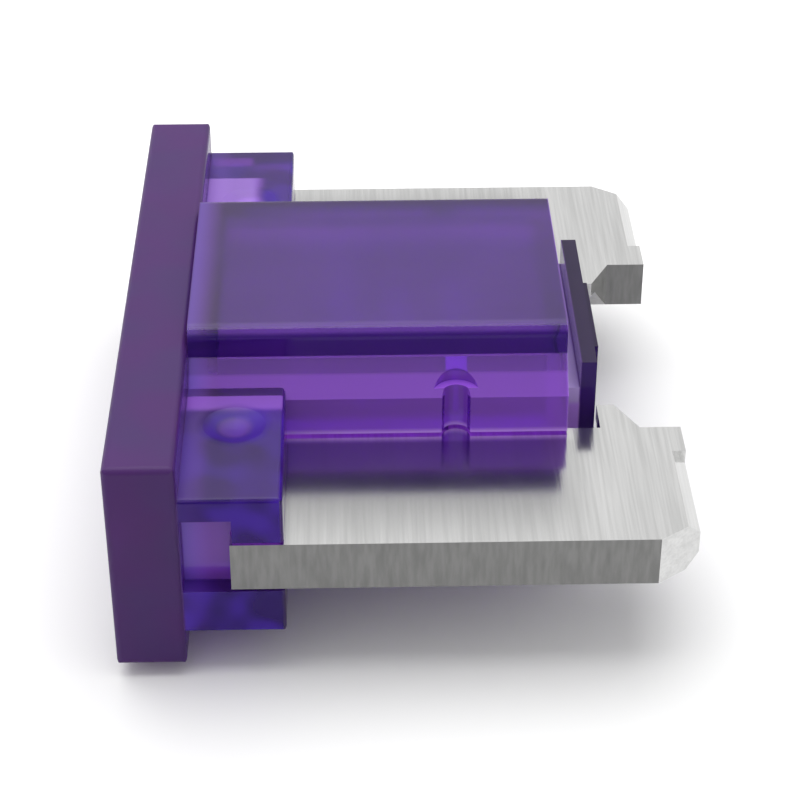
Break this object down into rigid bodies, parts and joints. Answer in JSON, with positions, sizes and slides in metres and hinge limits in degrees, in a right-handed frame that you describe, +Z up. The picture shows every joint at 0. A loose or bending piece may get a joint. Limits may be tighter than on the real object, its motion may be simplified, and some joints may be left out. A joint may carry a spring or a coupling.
{
  "type": "automotive blade fuse",
  "caption": "Low-profile mini blade fuse for vehicle circuits: a stamped strip with flat blades and a thin link in a translucent violet plastic housing, lying on its broad face.",
  "frame": {"origin": "middle of the fuse's outline seen from above, on the surface that it lies on", "axes": "+X from the head to the blade tips, +Y across the blades, +Z up through the thickness"},
  "size_m": [0.0088, 0.011, 0.0041],
  "materials": {
    "violet_plastic": "smooth translucent moulding",
    "zinc_alloy": "bright rolled faces with fine brush lines across the blades"
  },
  "bodies": {
    "root": {"housing": "violet_plastic", "fuse_strip": "zinc_alloy"}
  },
  "joints": []
}
